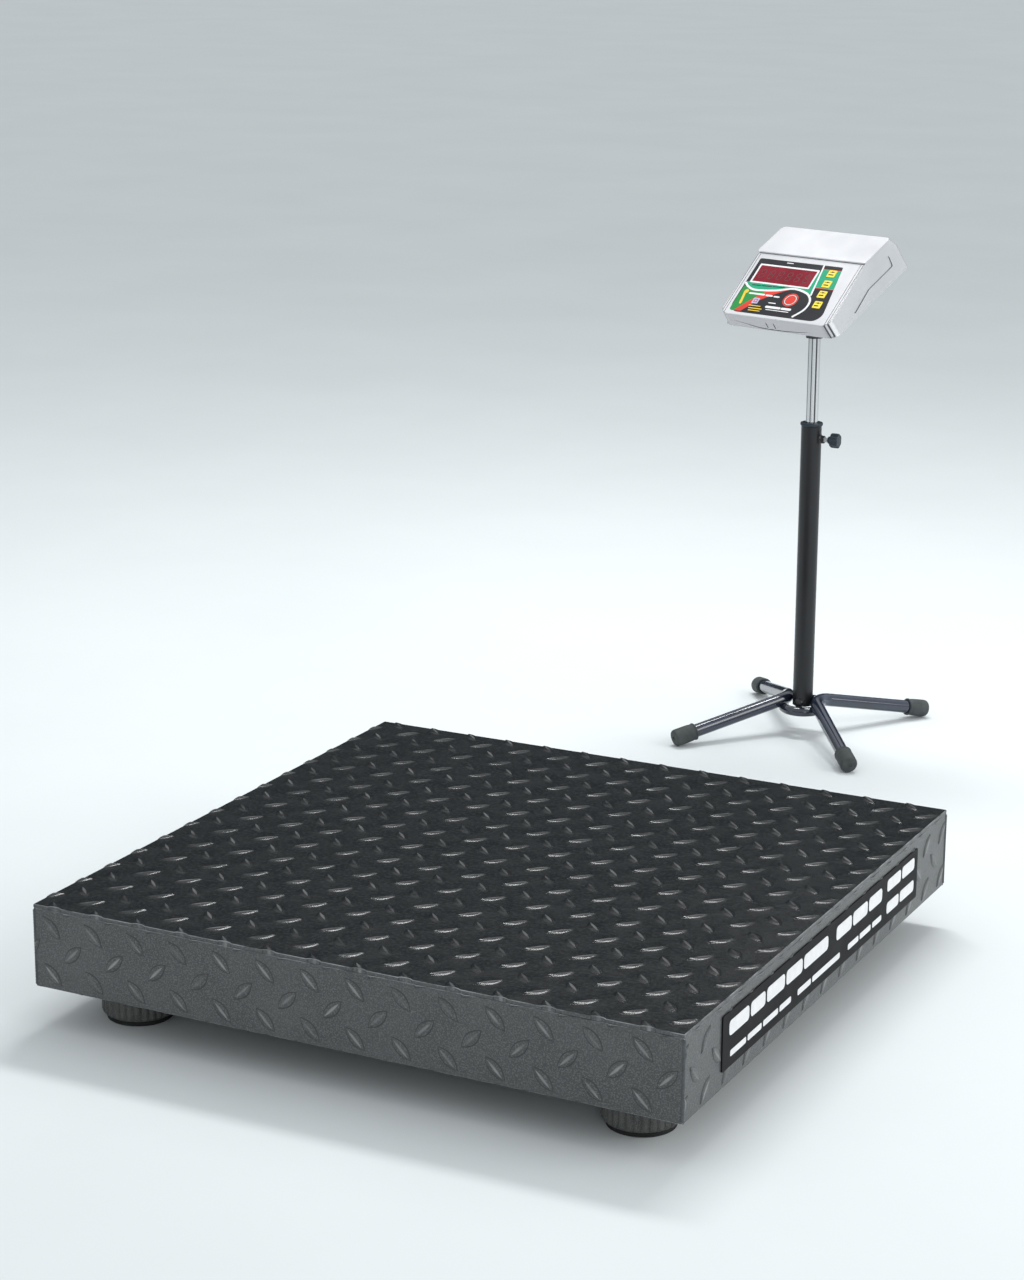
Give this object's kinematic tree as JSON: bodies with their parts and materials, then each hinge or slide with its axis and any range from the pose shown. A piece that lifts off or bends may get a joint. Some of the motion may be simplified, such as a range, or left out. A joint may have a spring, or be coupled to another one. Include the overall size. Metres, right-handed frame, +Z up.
{
  "type": "pallet scale",
  "caption": "Low square platform scale of lugged plate on screw-levelling feet, with a separate legged stand whose telescopic mast carries a tilting indicator with display and keys.",
  "frame": {"origin": "on the floor under the middle of the weighing platform", "axes": "+X to the right along the platform's front side, +Y from the platform to the stand behind it, +Z up out of the deck"},
  "size_m": [0.9004, 1.8479, 0.8442],
  "materials": {
    "deck_paint": "semi-gloss black paint on lugged steel plate",
    "skirt_paint": "dark grey speckled paint on lugged steel plate",
    "frame_paint": "dark primer",
    "zinc_steel": "bright zinc plate",
    "cell_steel": "nickel plated tool steel",
    "box_metal": "die cast aluminium",
    "board": "green circuit board",
    "lead_jacket": "black lead jacket",
    "gland_plastic": "black nylon",
    "label_vinyl": "black vinyl",
    "foot_rubber": "black rubber",
    "foot_iron": "dark painted iron with worn ribs",
    "tube_black": "satin black powder coat",
    "leg_gloss": "glossy blue-black enamel",
    "boot_rubber": "dark grey rubber",
    "knob_plastic": "blue-black moulded plastic",
    "white_nylon": "natural nylon",
    "chrome_tube": "polished chrome plate",
    "bracket_steel": "dark powder coat",
    "housing_silver": "bright silver plated plastic",
    "pan_steel": "plain steel sheet",
    "overlay": "printed plastic film",
    "window_red": "dark red clear plastic",
    "battery_case": "moulded battery case",
    "switch_black": "black moulded plastic",
    "rocker_red": "red moulded plastic",
    "key_yellow": "yellow printed key"
  },
  "bodies": {
    "platform": {"deck_plate": "deck_paint", "skirt_front": "skirt_paint", "skirt_back": "skirt_paint", "skirt_left": "skirt_paint", "skirt_right": "skirt_paint", "frame_rails": "frame_paint", "cross_channels": "frame_paint", "cell_spacers": "zinc_steel", "load_cells": "cell_steel", "cell_fasteners": "zinc_steel", "foot_lock_nuts": "zinc_steel", "junction_box": "box_metal", "junction_lid": "box_metal", "junction_board": "board", "cell_cables": "lead_jacket", "cable_glands": "gland_plastic", "cable_clips": "gland_plastic", "side_label": "label_vinyl"},
    "foot_fl": {"foot_sole_fl": "foot_rubber"},
    "foot_fr": {"foot_sole_fr": "foot_rubber"},
    "foot_bl": {"foot_sole_bl": "foot_rubber"},
    "foot_br": {"foot_sole_br": "foot_rubber"},
    "screw_fl": {"foot_screw_fl": "foot_iron"},
    "screw_fr": {"foot_screw_fr": "foot_iron"},
    "screw_bl": {"foot_screw_bl": "foot_iron"},
    "screw_br": {"foot_screw_br": "foot_iron"},
    "stand": {"outer_tube": "tube_black", "tube_collar": "knob_plastic", "clamp_boss": "tube_black", "leg_tube_left": "leg_gloss", "leg_tube_right": "leg_gloss", "hub_ring": "leg_gloss", "cross_bar": "leg_gloss", "hub_rivets": "zinc_steel", "column_bolt": "tube_black", "leg_boots": "boot_rubber"},
    "clamp_tip": {"clamp_pad": "white_nylon"},
    "clamp_screw": {"clamp_stud": "zinc_steel", "clamp_knob": "knob_plastic"},
    "mast": {"inner_tube": "chrome_tube", "mast_guide": "white_nylon"},
    "swivel": {"swivel_yoke": "bracket_steel"},
    "head": {"tilt_bracket": "bracket_steel", "tilt_bolt": "zinc_steel", "base_pan": "pan_steel", "housing_shell": "housing_silver", "top_cap": "housing_silver", "housing_screws": "zinc_steel", "front_overlay": "overlay", "display_window": "window_red", "front_board": "board", "main_board": "board", "battery": "battery_case", "rear_glands": "gland_plastic", "power_switch": "switch_black"},
    "rocker": {"power_rocker": "rocker_red"},
    "key_one": {"key_1": "key_yellow"},
    "key_two": {"key_2": "key_yellow"},
    "key_three": {"key_3": "key_yellow"},
    "key_four": {"key_4": "key_yellow"}
  },
  "joints": [
    {"name": "foot_fl_level", "type": "slide", "parent": "platform", "child": "foot_fl", "axis": [0, 0, 1], "range_m": [-0.01, 0]},
    {"name": "foot_fl_turn", "type": "hinge", "parent": "foot_fl", "child": "screw_fl", "pos_m": [-0.355, -0.355, 0.03], "axis": [0, 0, 1], "range_deg": [-1440, 0]},
    {"name": "foot_fr_level", "type": "slide", "parent": "platform", "child": "foot_fr", "axis": [0, 0, 1], "range_m": [-0.01, 0]},
    {"name": "foot_fr_turn", "type": "hinge", "parent": "foot_fr", "child": "screw_fr", "pos_m": [0.355, -0.355, 0.03], "axis": [0, 0, 1], "range_deg": [-1440, 0]},
    {"name": "foot_bl_level", "type": "slide", "parent": "platform", "child": "foot_bl", "axis": [0, 0, 1], "range_m": [-0.01, 0]},
    {"name": "foot_bl_turn", "type": "hinge", "parent": "foot_bl", "child": "screw_bl", "pos_m": [-0.355, 0.355, 0.03], "axis": [0, 0, 1], "range_deg": [-1440, 0]},
    {"name": "foot_br_level", "type": "slide", "parent": "platform", "child": "foot_br", "axis": [0, 0, 1], "range_m": [-0.01, 0]},
    {"name": "foot_br_turn", "type": "hinge", "parent": "foot_br", "child": "screw_br", "pos_m": [0.355, 0.355, 0.03], "axis": [0, 0, 1], "range_deg": [-1440, 0]},
    {"name": "stand_shift", "type": "slide", "parent": "platform", "child": "stand", "axis": [0, 1, 0], "range_m": [-0.3, 0.3]},
    {"name": "clamp_travel", "type": "slide", "parent": "stand", "child": "clamp_tip", "axis": [1, 0, 0], "range_m": [0, 0.0025]},
    {"name": "clamp_turn", "type": "hinge", "parent": "clamp_tip", "child": "clamp_screw", "pos_m": [-0.028, 1.205, 0.5075], "axis": [1, 0, 0], "range_deg": [0, 720]},
    {"name": "mast_lift", "type": "slide", "parent": "stand", "child": "mast", "axis": [0, 0, 1], "range_m": [-0.11, 0.185]},
    {"name": "head_swivel", "type": "hinge", "parent": "mast", "child": "swivel", "pos_m": [-0.063, 1.205, 0.704], "axis": [0, 0, 1], "range_deg": [-175, 175]},
    {"name": "head_tilt", "type": "hinge", "parent": "swivel", "child": "head", "pos_m": [-0.063, 1.205, 0.717], "axis": [0.9703, -0.2419, 0], "range_deg": [-25, 15]},
    {"name": "power_rocker_turn", "type": "hinge", "parent": "head", "child": "rocker", "pos_m": [0.01681, 1.27709, 0.81127], "axis": [0.9703, -0.2419, 0], "range_deg": [-16, 0]},
    {"name": "key_one_press", "type": "slide", "parent": "head", "child": "key_one", "axis": [-0.1593, -0.6389, 0.7526], "range_m": [-0.0008, 0], "stiffness_N_per_m": 600, "springref_m": 0.0008},
    {"name": "key_two_press", "type": "slide", "parent": "head", "child": "key_two", "axis": [-0.1593, -0.6389, 0.7526], "range_m": [-0.0008, 0], "stiffness_N_per_m": 600, "springref_m": 0.0008},
    {"name": "key_three_press", "type": "slide", "parent": "head", "child": "key_three", "axis": [-0.1593, -0.6389, 0.7526], "range_m": [-0.0008, 0], "stiffness_N_per_m": 600, "springref_m": 0.0008},
    {"name": "key_four_press", "type": "slide", "parent": "head", "child": "key_four", "axis": [-0.1593, -0.6389, 0.7526], "range_m": [-0.0008, 0], "stiffness_N_per_m": 600, "springref_m": 0.0008}
  ],
  "couplings": [
    {"joint": "foot_fl_level", "follows": "foot_fl_turn", "m_per_rad": 0.00039788},
    {"joint": "foot_fr_level", "follows": "foot_fr_turn", "m_per_rad": 0.00039788},
    {"joint": "foot_bl_level", "follows": "foot_bl_turn", "m_per_rad": 0.00039788},
    {"joint": "foot_br_level", "follows": "foot_br_turn", "m_per_rad": 0.00039788},
    {"joint": "clamp_turn", "follows": "clamp_travel", "rad_per_m": 5026.5}
  ]
}
